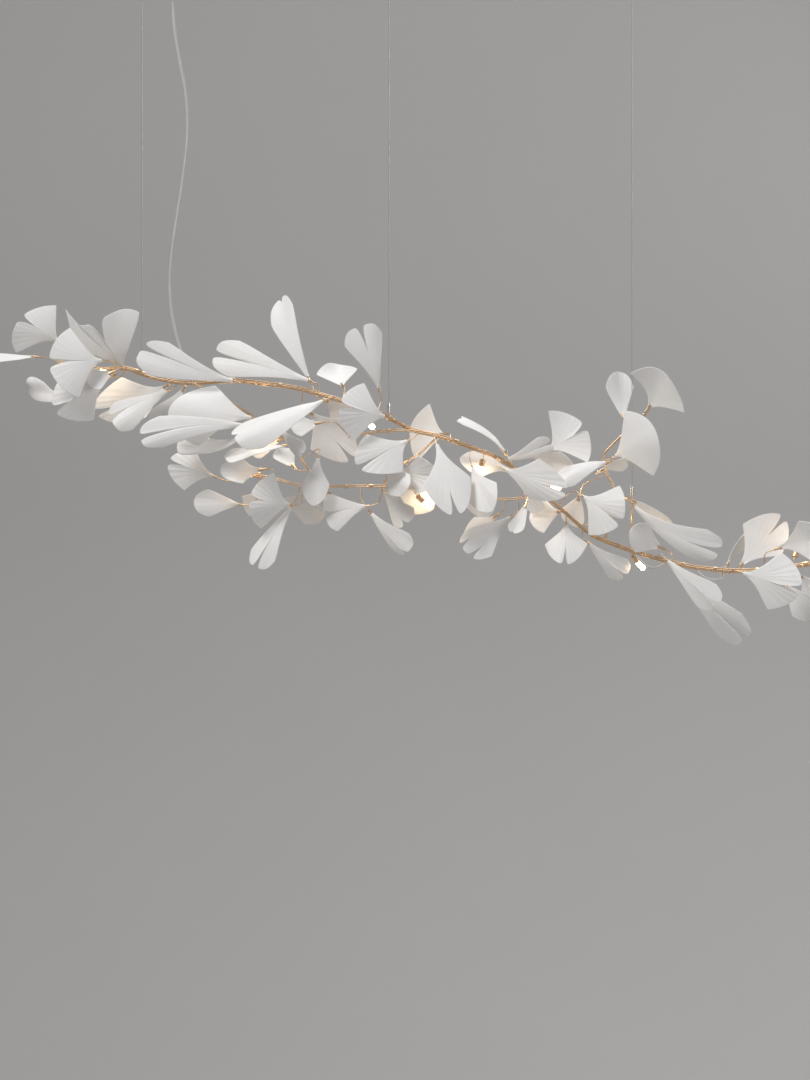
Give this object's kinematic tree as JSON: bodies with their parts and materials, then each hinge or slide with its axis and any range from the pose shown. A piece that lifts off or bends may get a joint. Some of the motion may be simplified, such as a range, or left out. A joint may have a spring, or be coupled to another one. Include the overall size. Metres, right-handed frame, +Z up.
{
  "type": "branch chandelier",
  "caption": "Chandelier shaped as a leafy branch: porcelain ginkgo leaves on bundled brass rods, hung on three steel wires, with small capsule bulbs and a cord to a ceiling rose.",
  "frame": {"origin": "on the ceiling, at the mouth of the middle wire's anchor bore", "axes": "+X along the branch to the viewer's right, +Y away from the viewer, +Z up; the ceiling is the plane Z = 0 and the chandelier hangs below it"},
  "size_m": [1.9097, 0.2635, 1.339],
  "materials": {
    "porcelain": "unglazed white porcelain, matte, opaque",
    "brass": "pinkish polished brass rod",
    "nickel": "nickel plated",
    "zinc_steel": "zinc plated",
    "steel_wire": "bright stranded steel wire",
    "rose_paint": "white powder coat",
    "white_plastic": "white moulded plastic",
    "cord_sheath": "pale grey cord sheath",
    "bulb_glass": "frosted glass, lit"
  },
  "bodies": {
    "ceiling": {"ceiling_anchor_left": "zinc_steel", "ceiling_anchor_middle": "zinc_steel", "ceiling_anchor_right": "zinc_steel", "anchor_cap_left": "nickel", "anchor_cap_middle": "nickel", "anchor_cap_right": "nickel", "rose_bracket": "zinc_steel", "rose_cover": "rose_paint", "rose_screws": "nickel", "rose_cord_grip": "white_plastic", "terminal_block": "white_plastic"},
    "swivel": {"wire_ball_left": "steel_wire", "wire_ball_middle": "steel_wire", "wire_ball_right": "steel_wire"},
    "wire_body_left": {"wire_left": "steel_wire"},
    "wire_body_middle": {"wire_middle": "steel_wire"},
    "wire_body_right": {"wire_right": "steel_wire"},
    "lamp": {"branch_collars": "brass", "bulbs": "bulb_glass", "cord_joiner": "white_plastic", "front_branch": "brass", "lamp_leads": "cord_sheath", "lampholders": "brass", "leaf_sockets_left": "brass", "leaf_sockets_right": "brass", "leaf_stems_left": "brass", "leaf_stems_right": "brass", "leaves_centre": "porcelain", "leaves_left_large": "porcelain", "leaves_left_lower": "porcelain", "leaves_left_tip": "porcelain", "leaves_left_upper": "porcelain", "leaves_lower_left": "porcelain", "leaves_lower_middle": "porcelain", "leaves_lower_right": "porcelain", "leaves_middle": "porcelain", "leaves_middle_low": "porcelain", "leaves_middle_right": "porcelain", "leaves_right": "porcelain", "leaves_right_centre": "porcelain", "leaves_right_long": "porcelain", "leaves_right_tip": "porcelain", "leaves_riser": "porcelain", "leaves_top": "porcelain", "lower_branch": "brass", "main_branch_left": "brass", "main_branch_right": "brass", "power_cord": "cord_sheath", "riser_branch": "brass", "socket_screws": "nickel", "twigs": "brass", "wire_gripper_left": "nickel", "wire_gripper_middle": "nickel", "wire_gripper_right": "nickel", "wire_hanger_left": "brass", "wire_hanger_middle": "brass", "wire_hanger_right": "brass"},
    "release_left": {"release_sleeve_left": "nickel"},
    "release_middle": {"release_sleeve_middle": "nickel"},
    "release_right": {"release_sleeve_right": "nickel"}
  },
  "joints": [
    {"name": "sway_across", "type": "hinge", "parent": "ceiling", "child": "swivel", "pos_m": [0, 0, -0.0144], "axis": [1, 0, 0], "range_deg": [-8, 8], "deforming": ["power_cord"]},
    {"name": "sway_along", "type": "slide", "parent": "swivel", "child": "lamp", "axis": [1, 0, 0], "range_m": [-0.04, 0.04], "stiffness_N_per_m": 60, "deforming": ["power_cord"]},
    {"name": "wire_lean_left", "type": "hinge", "parent": "swivel", "child": "wire_body_left", "pos_m": [-0.494, 0, -0.02235], "axis": [0, 1, 0], "range_deg": [-3.26, 3.26]},
    {"name": "wire_lean_middle", "type": "hinge", "parent": "swivel", "child": "wire_body_middle", "pos_m": [0, 0, -0.02235], "axis": [0, 1, 0], "range_deg": [-2.94, 2.94]},
    {"name": "wire_lean_right", "type": "hinge", "parent": "swivel", "child": "wire_body_right", "pos_m": [0.486, 0, -0.02235], "axis": [0, 1, 0], "range_deg": [-2.48, 2.48]},
    {"name": "wire_release_left", "type": "slide", "parent": "lamp", "child": "release_left", "axis": [0, 0, -1], "range_m": [0, 0.0025], "stiffness_N_per_m": 400},
    {"name": "wire_release_middle", "type": "slide", "parent": "lamp", "child": "release_middle", "axis": [0, 0, -1], "range_m": [0, 0.0025], "stiffness_N_per_m": 400},
    {"name": "wire_release_right", "type": "slide", "parent": "lamp", "child": "release_right", "axis": [0, 0, -1], "range_m": [0, 0.0025], "stiffness_N_per_m": 400}
  ],
  "couplings": [
    {"joint": "wire_lean_left", "follows": "sway_along", "rad_per_m": -1.3349},
    {"joint": "wire_lean_middle", "follows": "sway_along", "rad_per_m": -1.1943},
    {"joint": "wire_lean_right", "follows": "sway_along", "rad_per_m": -0.99683}
  ]
}
